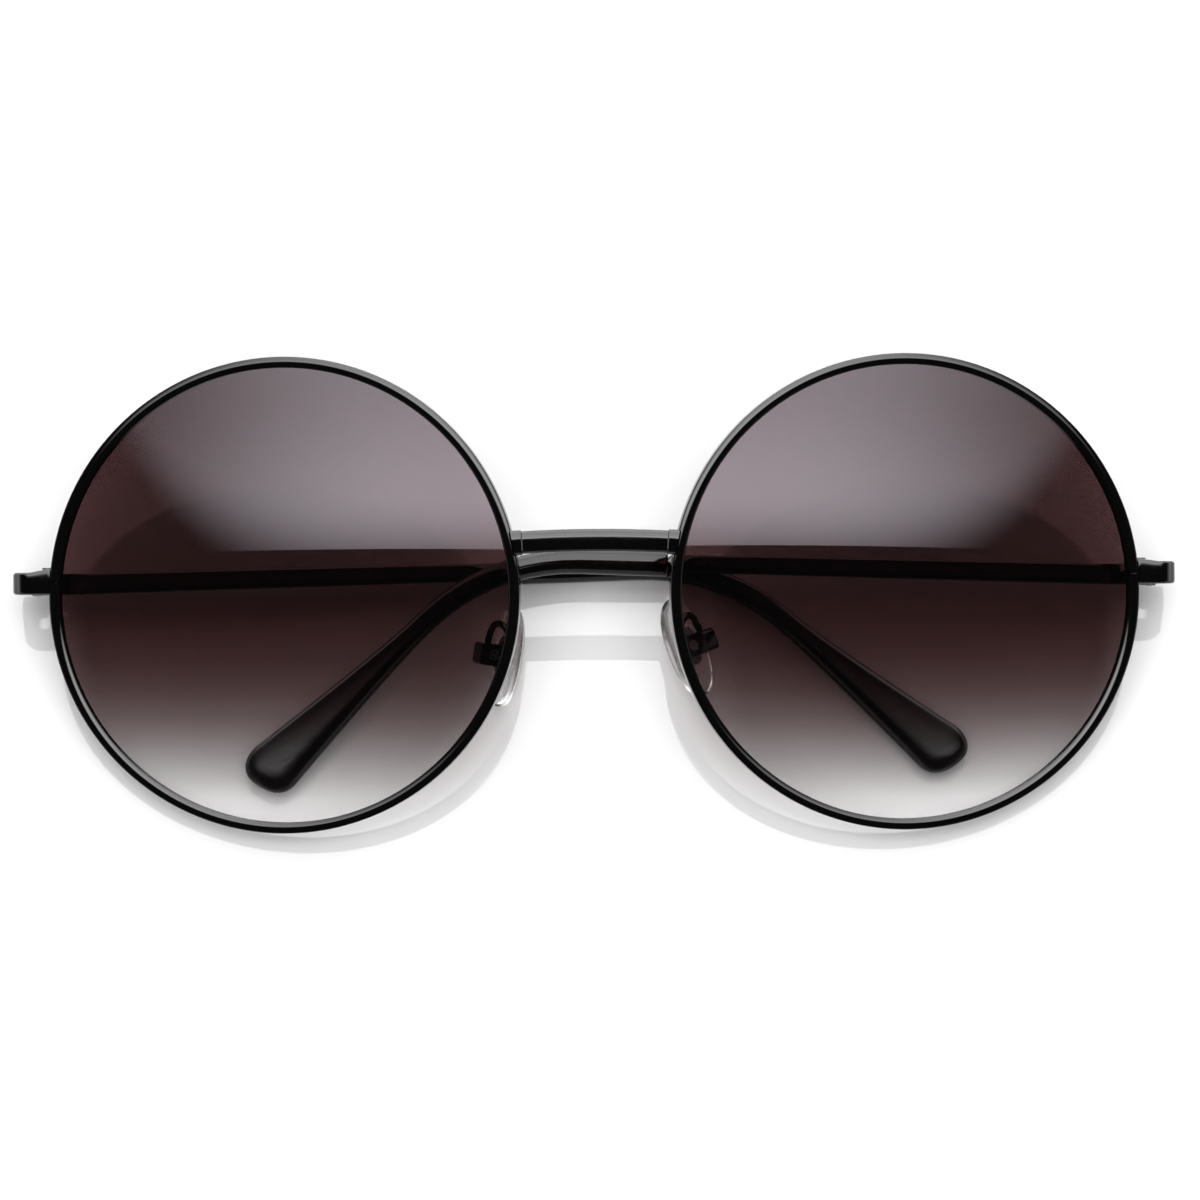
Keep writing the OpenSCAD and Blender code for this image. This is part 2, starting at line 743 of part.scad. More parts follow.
// The pad arm: a wire hook from the back of the rim up and over to the pad's box
function arm_foot() =
    let (
        p = [-(rim_r - rim_wire_w / 2) * cos(arm_angle), -(rim_r - rim_wire_w / 2) * sin(arm_angle), -rim_wire_d / 2 - seat_clear]
    )
    turn_y(p, wrap_angle) + [rim_x, 0, 0];
function arm_head(side) = pad_placed([box_front - box_h * 0.55, box_h / 2, 0], side);
function arm_point(t, side) =
    let (
        a = arm_foot(),
        d = arm_head(side),
        b = a + turn_y([0, 0, -arm_back_l], wrap_angle),
        up = pad_placed([0, 1, 0], side) - pad_placed([0, 0, 0], side),
        c = d + up * arm_hook
    )
    a * pow(1 - t, 3) + b * 3 * t * pow(1 - t, 2) + c * 3 * t * t * (1 - t) + d * pow(t, 3);
function arm_ring(t, side) =
    let (
        way = unit(arm_point(t + arm_look, side) - arm_point(t - arm_look, side)),
        flat = unit(cross(way, [1, 0, 0])),
        up = cross(flat, way)
    )
    [for (k = [0:arm_points - 1])
        let (a = 360 * k / arm_points)
        arm_point(t, side) + (flat * cos(a) + up * sin(a)) * arm_r];
module pad_arm(side) {
    color(BLACK)
        on_side(side)
            skin([for (k = [0:arm_ring_count]) arm_ring(k / arm_ring_count, side)]);
}
// The box that holds the pad's eyelet between two cheeks
module pad_box(side) {
    color(BLACK)
        on_side(side)
            pad_frame(side)
                difference() {
                    translate([box_front - box_h, 0, -box_w / 2])
                        translate([box_h / 2, 0, 0])
                            soft_block(box_h, box_h, box_w, box_soft);
                    translate([eyelet_x - eyelet_r - face_clear, -box_h, -eyelet_t / 2 - face_clear])
                        cube([2 * box_h, 2 * box_h, eyelet_t + 2 * face_clear]);
                    translate([eyelet_x, 0, 0])
                        cylinder(r = pad_screw_r + seat_clear, h = box_w + 2 * over, center = true);
                }
}
module pad_screw(side) {
    color(STEEL)
        on_side(side)
            pad_frame(side)
                translate([eyelet_x, 0, 0])
                    slotted_screw(pad_screw_r, -box_w / 2, box_w / 2 + pad_head_h + seat_clear,
                        pad_head_r, pad_head_h);
}
// The pad's metal core: a plate on the pad's seat with the eyelet that the screw passes
module pad_core(side) {
    color(STEEL)
        on_side(side)
            pad_frame(side)
                difference() {
                    union() {
                        translate([-core_plate_t, 0, 0])
                            rotate([0, 90, 0])
                                linear_extrude(height = core_plate_t - seat_clear)
                                    soft_rect(core_plate_w, core_plate_l, core_plate_w * 0.45);
                        translate([eyelet_x, -eyelet_r * 0.8, -eyelet_t / 2])
                            cube([-eyelet_x - core_plate_t + seat_clear, eyelet_r * 1.6, eyelet_t]);
                        translate([eyelet_x, 0, 0])
                            cylinder(r = eyelet_r, h = eyelet_t, center = true);
                    }
                    translate([eyelet_x, 0, 0])
                        cylinder(r = pad_screw_r + pin_clear, h = eyelet_t + 2 * over, center = true);
                }
}
module nose_pad(side) {
    color(CLEAR)
        on_side(side)
            pad_frame(side)
                skin([for (y = pad_stations()) pad_ring(y)]);
}

rim(-1);  // rim_left
rim(1);  // rim_right
lens(-1);  // lens_left
lens(1);  // lens_right
bridge_bar();
endpiece(-1);  // endpiece_left
endpiece(1);  // endpiece_right
lock_block(-1, 1);  // rim_lock_upper_left
lock_block(1, 1);  // rim_lock_upper_right
lock_block(-1, -1);  // rim_lock_lower_left
lock_block(1, -1);  // rim_lock_lower_right
rim_lock_screw(-1);  // rim_lock_screw_left
rim_lock_screw(1);  // rim_lock_screw_right
hinge_front(-1);  // hinge_front_left
hinge_front(1);  // hinge_front_right
hinge_screw(-1);  // hinge_screw_left
hinge_screw(1);  // hinge_screw_right
hinge_temple(-1);  // hinge_temple_left
hinge_temple(1);  // hinge_temple_right
temple(-1);  // temple_left
temple(1);  // temple_right
temple_tip(-1);  // temple_tip_left
temple_tip(1);  // temple_tip_right
pad_arm(-1);  // pad_arm_left
pad_arm(1);  // pad_arm_right
pad_box(-1);  // pad_box_left
pad_box(1);  // pad_box_right
pad_screw(-1);  // pad_screw_left
pad_screw(1);  // pad_screw_right
pad_core(-1);  // pad_core_left
pad_core(1);  // pad_core_right
nose_pad(-1);  // nose_pad_left
nose_pad(1);  // nose_pad_right
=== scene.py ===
import json
import math

import bmesh
import bpy
import numpy as np
from mathutils import Matrix, Vector


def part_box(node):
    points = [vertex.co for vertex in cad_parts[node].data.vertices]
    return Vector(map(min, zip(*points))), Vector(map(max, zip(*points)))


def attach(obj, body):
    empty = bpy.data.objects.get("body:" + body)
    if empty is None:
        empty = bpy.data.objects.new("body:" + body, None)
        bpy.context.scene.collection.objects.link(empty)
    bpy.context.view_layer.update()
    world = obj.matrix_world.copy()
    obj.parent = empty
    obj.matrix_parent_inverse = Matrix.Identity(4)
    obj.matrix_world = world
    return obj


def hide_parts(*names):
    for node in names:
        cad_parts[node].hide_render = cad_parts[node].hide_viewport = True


# Looks of the folded round sunglasses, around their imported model.
# Lengths are in metres. +X is the viewer's right, +Y the brow side, +Z up.

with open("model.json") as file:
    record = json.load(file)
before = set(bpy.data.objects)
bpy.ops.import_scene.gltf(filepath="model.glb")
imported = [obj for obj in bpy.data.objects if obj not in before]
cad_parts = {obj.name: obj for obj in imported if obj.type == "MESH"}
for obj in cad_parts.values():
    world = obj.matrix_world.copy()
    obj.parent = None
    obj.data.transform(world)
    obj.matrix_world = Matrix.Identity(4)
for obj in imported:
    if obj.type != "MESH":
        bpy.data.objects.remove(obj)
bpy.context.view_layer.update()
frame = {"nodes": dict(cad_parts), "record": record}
nodes = frame["nodes"]
SIDES = ("left", "right")
WHITE = (1, 1, 1, 1)
# Most of a noise's values lie between these
NOISE_LOW = 0.3
NOISE_HIGH = 0.7

# The camera stands almost square to the front: how far its line leans from the
# front's own axis to the right and upwards, and how it is rolled about that line
VIEW_LEAN = math.radians(-0.5255)
VIEW_LIFT = math.radians(0.3818)
VIEW_ROLL = math.radians(-0.3587)
VIEW_DISTANCE = 0.74
# How far to the right of the front's middle, and above it, that line passes
AIM_RIGHT = 0.0006394
AIM_UP = -0.0008552
# The photograph's side and the camera's focal length in its pixels, and a
# sensor's width in millimetres
PHOTO_SIDE = 1200
FOCAL_PIXELS = 5875
SENSOR_WIDTH = 36.0
NEAR_CLIP = 0.01

# The softbox, in angles from the camera's line: its card stands square to the
# line that rises by SOFTBOX_RISE, and its straight lower edge is seen at
# SOFTBOX_EDGE_RISE
SOFTBOX_DISTANCE = 1.0
SOFTBOX_RISE = math.radians(16.5)
SOFTBOX_EDGE_RISE = math.radians(5.1)
SOFTBOX_STRENGTH = 7.4
# Its glow fades sideways, upwards, and downwards, there sooner at the sides
GLOW_MIDDLE = math.radians(1.6)
GLOW_SIDE_FULL = math.radians(4)
GLOW_SIDE_DARK = math.radians(52)
GLOW_DIP_FROM = math.radians(12)
GLOW_DIP_TO = math.radians(26)
GLOW_DIP = 0.77
GLOW_TOP_FULL = math.radians(50)
GLOW_TOP_DARK = math.radians(76)
GLOW_LOW_DARK = math.radians(-0.8)
GLOW_LOW_SPAN = math.radians(12.5)
GLOW_LOW_LIFT = math.radians(4.8)
GLOW_LIFT_AT = math.radians(29)
GLOW_LIFT_POWER = 4.5

# A dim card over the camera that lifts the shadows, but is mirrored nowhere.
# Its glow is stronger in the middle and weaker at FILL_FADE by FILL_UNEVEN
FILL_DISTANCE = 1.0
FILL_HALF = 0.5
FILL_STRENGTH = 2.57
FILL_FADE = 0.75
FILL_UNEVEN = 0.1

# The room: dark, but pale along the horizon, less so on the chin side, and
# bright behind the brow
ROOM_DIM = 0.04
ROOM_BRIGHT = 2.2
WALL_TOP = math.sin(math.radians(35))
WALL_FULL = 0.0
CHIN_LEAN = 0.3
BROW_GLOW = 4.2
BROW_FROM = 0.5
BROW_FULL = 0.85
BROW_SIDE_FULL = 0.5
BROW_SIDE_DARK = 0.9
BROW_LOW = 0.5
BROW_LOW_FULL = 0.4

# What the softbox and the room cast on plain surfaces, as a share of how bright
# they are in mirrored rays. It keeps the light on the table at a plain level
PLAIN_SHARE = 0.39

# The lens: a bowl of even thickness with a bevelled edge in the rim's groove
LENS_CURVE = 0.132
LENS_THICK = 0.0018
LENS_SHOULDER = 0.02860
LENS_EDGE = 0.02910
LENS_BEVEL = 0.00112
LENS_RINGS = 36
LENS_SPOKES = 144

# The rim's wire: its section's size, how far its arched face turns to either
# side, and the round of its edges
RIM_RADIUS = 0.030
WIRE_WIDE = 0.00138
WIRE_DEEP = 0.002
WIRE_FACE_TURN = math.radians(30)
WIRE_ROUND = 0.00014
GROOVE_DEEP = 0.0005
GROOVE_TALL = 0.0012
RIM_SPOKES = 216
# The cut in each rim, at its endpiece's height
CUT_HEIGHT = {"left": 0.00175, "right": 0.0022}
CUT_WIDE = 0.00024

# The endpiece's strip in the front's own axes: its side, its outer face, how
# thick it is, the rounds of its outer and inner edges, and its corner
END_X = 0.07366
END_FRONT = -0.002956
END_THICK = 0.0014
END_ROUND = 0.0004
END_FINE = 0.0001
END_CORNER = 0.0022
# Where it leaves the side of its rim, and how far inside that it may start
END_RIM_X = 0.06886
END_RIM_REACH = 0.002
# Its lower edge's height, how tall it is at the rim, and what it loses outwards
END_HEIGHTS = {"left": (0.0002, 0.0033, 0.00048), "right": (0.00075, 0.00323, 0.00036)}
# The hinge's pin: how far behind the front's middle and below the rim's cut it
# is, how it leans, and the gap between it and the strip's end, cut along it
HINGE_BACK = 0.0106
HINGE_SINK = 0.00015
HINGE_LEAN = math.radians(8)
END_BUTT = 0.00012
# How many steps the strip takes along its face
END_SPANS = 6

# The bridge bar: its arc in the front's plane, its section and its collars
BRIDGE_HEIGHT = 0.00636
BRIDGE_ARCH = 0.0003
BRIDGE_OUT = 0.004476
BRIDGE_HALF = 0.010017
BRIDGE_TALL = 0.00286
BRIDGE_DEEP = 0.0027
BRIDGE_ROUND = 0.00100
BRIDGE_LOW_ROUND = 0.0006
BRIDGE_SPANS = 12
COLLAR_LONG = 0.0008
COLLAR_RISE = COLLAR_LONG / 6
COLLAR_SHARE = 1.10
# Shares of BRIDGE_HALF between which the bar's ends meet the rims
BRIDGE_CLEAR = 0.5
BRIDGE_INSIDE = 1.4

# How often a search for a rim's side halves its span
HALVINGS = 30

# Edges that turn more than this stay creases, and get a fine round
CREASE = math.radians(34)
EDGE_STEPS = 3
# Points closer than this are one
WELD = 0.000002


def rim_normal(node):
    """The unit normal of a rim's plane, on its upper side."""
    points = np.array([v.co for v in nodes[node].data.vertices])
    flat = np.linalg.svd(points - points.mean(axis=0), full_matrices=False)[2]
    normal = Vector(flat[2])
    return normal if normal.z > 0 else -normal


def box_middle(node):
    """The middle of a node's box."""
    low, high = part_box(node)
    return (low + high) / 2


FRONT_OUT = (rim_normal("rim_left") + rim_normal("rim_right")).normalized()
FRONT_UP = FRONT_OUT.cross(Vector((1, 0, 0))).normalized()
FRONT_ACROSS = FRONT_UP.cross(FRONT_OUT)
FRONT_MIDDLE = (box_middle("rim_left") + box_middle("rim_right")) / 2
RIM_PLACES = {side: (box_middle("rim_" + side), rim_normal("rim_" + side)) for side in SIDES}


def rim_axes(side):
    """A rim's middle, and its directions across, up and out."""
    middle, out = RIM_PLACES[side]
    across = FRONT_UP.cross(out).normalized()
    return middle, across, out.cross(across), out


def outside_rims(point):
    """How far a point of the front lies outside the nearer rim's cylinder."""
    middle, out = RIM_PLACES["left" if point.x < 0 else "right"]
    away = point - middle
    return (away - out * away.dot(out)).length - RIM_RADIUS


def meet_rim(point_at, inside, outside):
    """The point just outside a rim, between a value inside it and one outside."""
    for _ in range(HALVINGS):
        value = (inside + outside) / 2
        if outside_rims(point_at(value)) > 0:
            outside = value
        else:
            inside = value
    return point_at(outside)


class Shader:
    """A material or world whose nodes are added one call at a time."""

    def __init__(self, owner):
        owner.use_nodes = True
        self.owner = owner
        self.tree = owner.node_tree
        self.tree.nodes.clear()

    def add(self, kind, inputs=None, **settings):
        """Adds a node, with what its sockets and its settings get."""
        made = self.tree.nodes.new("ShaderNode" + kind)
        for name, value in settings.items():
            setattr(made, name, value)
        for name, value in (inputs or {}).items():
            self.feed(made.inputs[name], value)
        return made

    def feed(self, socket, value):
        """Gives a socket a number or a colour, or links it to another socket."""
        if isinstance(value, bpy.types.NodeSocket):
            self.tree.links.new(value, socket)
        else:
            socket.default_value = value

    def math(self, operation, first, second=0.0):
        return self.add("Math", {0: first, 1: second}, operation=operation).outputs[0]

    def product(self, first, *others):
        """The product of a value and all others."""
        for other in others:
            first = self.math("MULTIPLY", first, other)
        return first

    def ramp(self, value, low, high, start=0.0, end=1.0, soft=True):
        """Goes from start to end while a value goes from low to high."""
        made = self.add("MapRange", interpolation_type="SMOOTHSTEP" if soft else "LINEAR")
        ends = {"Value": value, "From Min": low, "From Max": high, "To Min": start, "To Max": end}
        for name, number in ends.items():
            self.feed(made.inputs[name], number)
        return made.outputs["Result"]

    def noise(self, scale, detail):
        """A noise over the piece, of so many grains a metre."""
        inputs = {"Vector": self.place(), "Scale": scale, "Detail": detail}
        return self.add("TexNoise", inputs).outputs["Fac"]

    def vary(self, noise, least, most):
        """A number that goes from least to most with a noise."""
        return self.ramp(noise, NOISE_LOW, NOISE_HIGH, least, most)

    def place(self):
        return self.add("TexCoord").outputs["Object"]

    def along(self, direction, origin):
        """The distance from origin along a direction, in metres."""
        dot = self.add("VectorMath", {0: self.place(), 1: direction}, operation="DOT_PRODUCT")
        return self.math("SUBTRACT", dot.outputs["Value"], origin.dot(direction))

    def blend(self, factor, first, second):
        """A colour between two, by the Mix node's sockets for colours."""
        made = self.add("Mix", {0: factor, 6: first, 7: second}, data_type="RGBA")
        return made.outputs[2]

    def mix(self, factor, first, second):
        """A shader between two."""
        inputs = {0: factor, 1: first.outputs[0], 2: second.outputs[0]}
        return self.add("MixShader", inputs)

    def plain(self, strength):
        """A light's strength: in full where it is mirrored, less where it falls."""
        path = self.add("LightPath").outputs
        mirrored = self.math("MAXIMUM", path["Is Glossy Ray"], path["Is Transmission Ray"])
        return self.math("MULTIPLY", strength, self.math("MAXIMUM", mirrored, PLAIN_SHARE))

    def bump(self, height, distance, strength):
        made = self.add("Bump", {"Height": height, "Distance": distance, "Strength": strength})
        return made.outputs["Normal"]

    def end(self, shader):
        """Shows a shader node on the material or world, and returns that."""
        kind = "OutputWorld" if isinstance(self.owner, bpy.types.World) else "OutputMaterial"
        self.add(kind, {"Surface": shader.outputs[0]})
        return self.owner


def new_material(name):
    return Shader(bpy.data.materials.new(name))


# The enamel's two blacks, its least and most roughness, and its orange peel
ENAMEL_BLACKS = ((0.0004, 0.0004, 0.0005, 1), (0.0014, 0.0013, 0.0014, 1))
ENAMEL_ROUGH = (0.04, 0.08)
ENAMEL_PEEL = 0.000003


def enamel():
    """Gloss black enamel on wire, with a faint orange peel."""
    s = new_material("frame_enamel")
    cloud = s.noise(scale=160, detail=4)
    peel = s.noise(scale=1400, detail=2)
    return s.end(s.add("BsdfPrincipled", {
        "Base Color": s.blend(cloud, *ENAMEL_BLACKS),
        "Roughness": s.vary(cloud, *ENAMEL_ROUGH),
        "Normal": s.bump(peel, ENAMEL_PEEL, strength=0.4),
    }))


# The tips' two browns, their roughness and gloss, and their moulded surface's
# unevenness. They are worn satin downwards from PADDLE_FROM, as they lie folded
TIP_BROWNS = ((0.001, 0.0006, 0.0006, 1), (0.003, 0.0014, 0.0014, 1))
TIP_ROUGH = (0.07, 0.12)
TIP_IOR = 1.4
TIP_RELIEF = 0.000004
TIP_WEAR = 0.16
PADDLE_FROM = -0.004
PADDLE_TO = -0.018


def tip_plastic():
    """Black plastic with a trace of red brown, polished, but satin at its paddle."""
    s = new_material("tip_plastic")
    cloud = s.noise(scale=90, detail=4)
    worn = s.ramp(s.along(FRONT_UP, FRONT_MIDDLE), PADDLE_FROM, PADDLE_TO, 0.0, TIP_WEAR)
    return s.end(s.add("BsdfPrincipled", {
        "Base Color": s.blend(cloud, *TIP_BROWNS),
        "Roughness": s.math("ADD", s.vary(cloud, *TIP_ROUGH), worn),
        "IOR": TIP_IOR,
        "Normal": s.bump(s.noise(scale=700, detail=2), TIP_RELIEF, strength=0.4),
    }))


# The steel's two greys, its least and most roughness, and its turning marks
STEEL_GREYS = ((0.14, 0.14, 0.145, 1), (0.24, 0.24, 0.245, 1))
STEEL_ROUGH = (0.22, 0.4)
STEEL_MARKS = 0.000004


def steel():
    """Turned steel of screws and pad cores."""
    s = new_material("screw_steel")
    grain = s.noise(scale=2600, detail=3)
    return s.end(s.add("BsdfPrincipled", {
        "Base Color": s.blend(grain, *STEEL_GREYS),
        "Metallic": 1.0,
        "Roughness": s.vary(grain, *STEEL_ROUGH),
        "Normal": s.bump(grain, STEEL_MARKS, strength=0.6),
    }))


# The pads' two whites, their least and most roughness and their gloss, and what
# light their shadow lets through
PAD_WHITES = ((0.90, 0.91, 0.90, 1), (0.97, 0.975, 0.97, 1))
PAD_ROUGH = (0.12, 0.2)
PAD_IOR = 1.38
PAD_SHADE = (0.8, 0.8, 0.8, 1)


def pad_clear():
    """Clear soft plastic that lets light through to the table."""
    s = new_material("pad_clear")
    cloud = s.noise(scale=420, detail=3)
    body = s.add("BsdfPrincipled", {
        "Base Color": s.blend(cloud, *PAD_WHITES),
        "Roughness": s.vary(cloud, *PAD_ROUGH),
        "IOR": PAD_IOR,
        "Transmission Weight": 1.0,
    })
    passing = s.add("BsdfTransparent", {"Color": PAD_SHADE})
    return s.end(s.mix(s.add("LightPath").outputs["Is Shadow Ray"], body, passing))


# How much red light the lens lets through, by height from its middle in lens
# radii, and how much green and blue pass as a share of the red
TINT_HEIGHTS = (1.0, -0.02, -0.15, -0.285, -0.417, -0.549, -0.68, -0.81, -0.90, -0.966, -1.0)
TINT_PASSES = (0.030, 0.085, 0.140, 0.180, 0.250, 0.365, 0.535, 0.73, 0.90, 0.96, 0.98)
TINT_COOL_SHARES = (0.42, 0.47, 0.54, 0.64, 0.76, 0.88, 0.97, 0.985, 0.99, 0.99, 0.99)
# What its polished front mirrors
LENS_GLOSS = (0.92, 0.85, 0.93, 1)
LENS_ROUGH = 0.01
LENS_IOR = 1.5


def lens_tint(side):
    """A polished lens whose warm grey tint fades towards its lower edge."""
    s = new_material("lens_tint_" + side)
    height = s.along(FRONT_UP, box_middle("rim_" + side))
    down = s.ramp(s.math("DIVIDE", height, LENS_SHOULDER), 1.0, -1.0, soft=False)
    curve = s.add("ValToRGB", {"Fac": down})
    stops = curve.color_ramp.elements
    for at, passes, cool in zip(TINT_HEIGHTS, TINT_PASSES, TINT_COOL_SHARES):
        place = (1 - at) / 2
        if place in (0, 1):
            stop = stops[0] if place == 0 else stops[-1]
        else:
            stop = stops.new(place)
        stop.color = (passes, passes * cool, passes * cool, 1)
    clear = s.add("BsdfTransparent", {"Color": curve.outputs["Color"]})
    gloss = s.add("BsdfGlossy", {"Color": LENS_GLOSS, "Roughness": LENS_ROUGH})
    front = s.mix(s.add("Fresnel", {"IOR": LENS_IOR}).outputs[0], clear, gloss)
    through = s.add("BsdfTransparent", {"Color": WHITE})
    return s.end(s.mix(s.add("NewGeometry").outputs["Backfacing"], front, through))


# The table top: its size, its two whites, and its polish
FLOOR_SIZE = 3.0
FLOOR_WHITES = ((0.745, 0.745, 0.745, 1), (0.755, 0.755, 0.755, 1))
FLOOR_ROUGH = 0.012
FLOOR_IOR = 1.47


def floor_white():
    """Polished white table top that mirrors faintly."""
    s = new_material("floor_white")
    return s.end(s.add("BsdfPrincipled", {
        "Base Color": s.blend(s.noise(scale=3, detail=2), *FLOOR_WHITES),
        "Roughness": FLOOR_ROUGH,
        "IOR": FLOOR_IOR,
    }))


def softbox_glow():
    """The softbox's glow by angle. What lies behind its card shines through."""
    s = new_material("softbox_glow")
    flat = s.add("SeparateXYZ", {0: s.place()}).outputs
    turn, rise = (s.math("ARCTANGENT", s.math("DIVIDE", flat[axis], SOFTBOX_DISTANCE))
                  for axis in ("X", "Y"))
    aside = s.math("ABSOLUTE", s.math("SUBTRACT", turn, GLOW_MIDDLE))
    rise = s.math("ADD", rise, SOFTBOX_RISE)
    lift = s.math("POWER", s.math("DIVIDE", aside, GLOW_LIFT_AT), GLOW_LIFT_POWER)
    above = s.math("SUBTRACT", rise, s.product(lift, GLOW_LOW_LIFT))
    glow = s.product(
        s.ramp(aside, GLOW_SIDE_DARK, GLOW_SIDE_FULL),
        s.ramp(rise, GLOW_TOP_DARK, GLOW_TOP_FULL),
        s.ramp(rise, GLOW_DIP_FROM, GLOW_DIP_TO, 1.0, GLOW_DIP),
        s.ramp(above, GLOW_LOW_DARK, GLOW_LOW_DARK + GLOW_LOW_SPAN),
        SOFTBOX_STRENGTH)
    emission = s.add("Emission", {"Color": WHITE, "Strength": s.plain(glow)})
    behind = s.add("BsdfTransparent", {"Color": WHITE})
    return s.end(s.add("AddShader", {0: emission.outputs[0], 1: behind.outputs[0]}))


def fill_glow():
    """The even glow of the fill card, a little stronger in its middle."""
    s = new_material("fill_glow")
    far = s.add("VectorMath", {0: s.place()}, operation="LENGTH").outputs["Value"]
    most, least = FILL_STRENGTH * (1 + FILL_UNEVEN), FILL_STRENGTH * (1 - FILL_UNEVEN)
    strength = s.ramp(far, 0.0, FILL_FADE, most, least)
    return s.end(s.add("Emission", {"Color": WHITE, "Strength": strength}))


def new_object(name, data):
    """An object of a mesh or a camera, shown in the scene."""
    made = bpy.data.objects.new(name, data)
    bpy.context.scene.collection.objects.link(made)
    return made


def make_card(name, material, left, right, low, high):
    """A flat card in its own X and Y."""
    mesh = bpy.data.meshes.new(name)
    corners = [(left, low, 0), (right, low, 0), (right, high, 0), (left, high, 0)]
    mesh.from_pydata(corners, [], [(0, 1, 2, 3)])
    mesh.materials.append(material)
    return new_object(name, mesh)


def turn_to(thing, place, right, up, out):
    """Puts a thing at a place, with its X, Y and Z along three directions."""
    axes = Matrix((right, up, out)).transposed().to_4x4()
    thing.matrix_world = Matrix.Translation(place) @ axes


def camera_axes():
    """The camera's right, up and backward directions."""
    out = FRONT_OUT + FRONT_ACROSS * math.tan(VIEW_LEAN) + FRONT_UP * math.tan(VIEW_LIFT)
    out.normalize()
    right = (FRONT_ACROSS - out * FRONT_ACROSS.dot(out)).normalized()
    right = Matrix.Rotation(VIEW_ROLL, 3, out) @ right
    return right, out.cross(right), out


def make_camera():
    """The camera, at the photograph's viewing angle."""
    right, up, out = camera_axes()
    data = bpy.data.cameras.new("camera")
    data.sensor_fit = "HORIZONTAL"
    data.sensor_width = SENSOR_WIDTH
    data.lens = FOCAL_PIXELS / PHOTO_SIDE * SENSOR_WIDTH
    data.clip_start = NEAR_CLIP
    camera = new_object("camera", data)
    place = FRONT_MIDDLE + out * VIEW_DISTANCE + right * AIM_RIGHT + up * AIM_UP
    turn_to(camera, place, right, up, out)
    bpy.context.scene.camera = camera


def make_room():
    """White to the eye; as light, dark but for the horizon and the brow's side."""
    world = bpy.data.worlds.new("room")
    bpy.context.scene.world = world
    s = Shader(world)
    way = s.add("SeparateXYZ", {0: s.add("TexCoord").outputs["Generated"]}).outputs
    chin = s.math("MULTIPLY", s.math("MINIMUM", way["Y"], 0.0), CHIN_LEAN)
    walls = s.ramp(s.math("SUBTRACT", way["Z"], chin), WALL_TOP, WALL_FULL, ROOM_DIM, ROOM_BRIGHT)
    brow = s.product(
        s.ramp(way["Y"], BROW_FROM, BROW_FULL, 0.0, BROW_GLOW),
        s.ramp(s.math("ABSOLUTE", way["X"]), BROW_SIDE_DARK, BROW_SIDE_FULL),
        s.ramp(way["Z"], 0.0, BROW_LOW_FULL, BROW_LOW, 1.0))
    light = s.plain(s.math("ADD", walls, brow))
    strength = s.math("MAXIMUM", light, s.add("LightPath").outputs["Is Camera Ray"])
    s.end(s.add("Background", {"Color": WHITE, "Strength": strength}))


def make_floor():
    """The table top."""
    half = FLOOR_SIZE / 2
    floor = make_card("floor", floor_white(), -half, half, -half, half)


def make_softbox():
    """The softbox card. Its lower edge is where the lenses stop mirroring it."""
    wide = SOFTBOX_DISTANCE * math.tan(GLOW_SIDE_DARK)
    top = SOFTBOX_DISTANCE * math.tan(GLOW_TOP_DARK - SOFTBOX_RISE)
    low = -SOFTBOX_DISTANCE * math.tan(SOFTBOX_RISE - SOFTBOX_EDGE_RISE)
    card = make_card("softbox", softbox_glow(), -wide, wide, low, top)
    right, _, out = camera_axes()
    out = Matrix.Rotation(-SOFTBOX_RISE, 3, right) @ out
    turn_to(card, FRONT_MIDDLE + out * SOFTBOX_DISTANCE, right, out.cross(right), out)
    card.visible_camera = False
    card.visible_shadow = False


def make_fill():
    """The fill card, square to the camera's line."""
    card = make_card("fill", fill_glow(), -FILL_HALF, FILL_HALF, -FILL_HALF, FILL_HALF)
    right, up, out = camera_axes()
    turn_to(card, FRONT_MIDDLE + out * FILL_DISTANCE, right, up, out)
    card.visible_camera = False
    card.visible_glossy = False
    card.visible_transmission = False
    card.visible_shadow = False


def soften_group():
    """Geometry nodes that weld a node's faces and smooth all but its creases."""
    group = bpy.data.node_groups.new("soften", "GeometryNodeTree")
    for way in ("INPUT", "OUTPUT"):
        group.interface.new_socket("Geometry", in_out=way, socket_type="NodeSocketGeometry")
    came = group.nodes.new("NodeGroupInput")
    weld = group.nodes.new("GeometryNodeMergeByDistance")
    weld.inputs["Distance"].default_value = WELD
    turn = group.nodes.new("GeometryNodeInputMeshEdgeAngle")
    sharp = group.nodes.new("FunctionNodeCompare")
    sharp.data_type = "FLOAT"
    sharp.operation = "GREATER_THAN"
    sharp.inputs[1].default_value = CREASE
    shade = group.nodes.new("GeometryNodeSetMeshNormal")
    shade.mode = "SHARPNESS"
    goes = group.nodes.new("NodeGroupOutput")
    link = group.links.new
    link(came.outputs[0], weld.inputs["Geometry"])
    link(weld.outputs[0], shade.inputs["Mesh"])
    link(turn.outputs["Unsigned Angle"], sharp.inputs[0])
    link(sharp.outputs[0], shade.inputs["Edge Sharpness"])
    link(shade.outputs[0], goes.inputs[0])
    return group


def soften(thing, group, edge=0.0):
    """Smooths a node's shading, and rounds its creases where an edge is given."""
    thing.modifiers.new("soften", "NODES").node_group = group
    if edge:
        bevel = thing.modifiers.new("edge", "BEVEL")
        bevel.limit_method = "ANGLE"
        bevel.angle_limit = CREASE
        bevel.width = edge
        bevel.segments = EDGE_STEPS
        bevel.harden_normals = True


